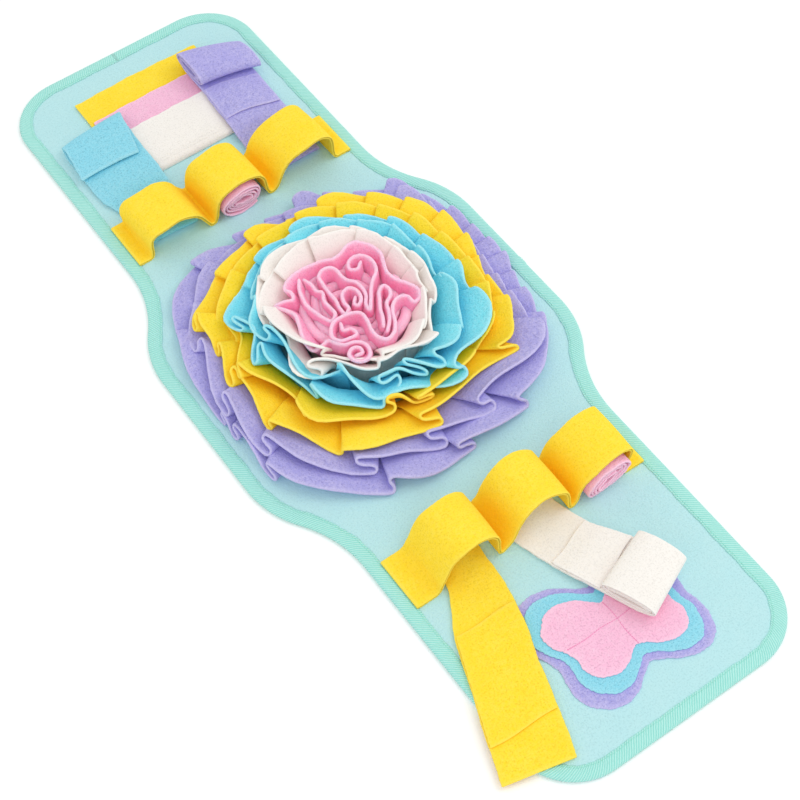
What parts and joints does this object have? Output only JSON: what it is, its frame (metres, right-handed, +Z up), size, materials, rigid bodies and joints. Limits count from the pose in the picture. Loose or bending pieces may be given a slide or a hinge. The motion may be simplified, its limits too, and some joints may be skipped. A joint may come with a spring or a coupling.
{
  "type": "snuffle mat",
  "caption": "Padded fleece snuffle mat with a bound edge, a ruffled flower, looped bands holding rolls and straps, layered pocket flaps and a butterfly patch",
  "frame": {"origin": "middle of the mat's flat underside, on the surface it lies on", "axes": "X runs across the mat, +Y along its length towards the end with the pocket flaps, +Z up out of the fleece side"},
  "size_m": [0.37, 0.98, 0.0627],
  "materials": {
    "mat_aqua": "brushed fleece, pale aqua",
    "tape_teal": "woven twill tape, teal green",
    "fleece_yellow": "brushed fleece, warm yellow",
    "fleece_lilac": "brushed fleece, lilac",
    "fleece_sky": "brushed fleece, sky blue",
    "fleece_white": "brushed fleece, warm white",
    "fleece_pink": "brushed fleece, rose pink",
    "fleece_soft_pink": "brushed fleece, soft pink"
  },
  "bodies": {
    "root": {"base_panel": "mat_aqua", "edge_binding": "tape_teal", "flap_yellow": "fleece_yellow", "flap_pink": "fleece_soft_pink", "flap_white": "fleece_white", "loop_band_far": "fleece_yellow", "loop_band_near": "fleece_yellow", "strap_sky": "fleece_sky", "strap_lilac": "fleece_lilac", "strap_lilac_pocket": "fleece_lilac", "strap_yellow": "fleece_yellow", "strap_yellow_pocket": "fleece_yellow", "strap_white": "fleece_white", "strap_white_pocket": "fleece_white", "roll_pink_far": "fleece_soft_pink", "roll_pink_near": "fleece_soft_pink", "ruffle_lilac_outer": "fleece_lilac", "ruffle_lilac_inner": "fleece_lilac", "ruffle_yellow_outer": "fleece_yellow", "ruffle_yellow_inner": "fleece_yellow", "ruffle_sky_outer": "fleece_sky", "ruffle_sky_inner": "fleece_sky", "ruffle_white_outer": "fleece_white", "ruffle_white_inner": "fleece_white", "rosette_pink": "fleece_pink", "butterfly_lilac": "fleece_lilac", "butterfly_sky": "fleece_sky", "butterfly_pink": "fleece_soft_pink"}
  },
  "joints": []
}
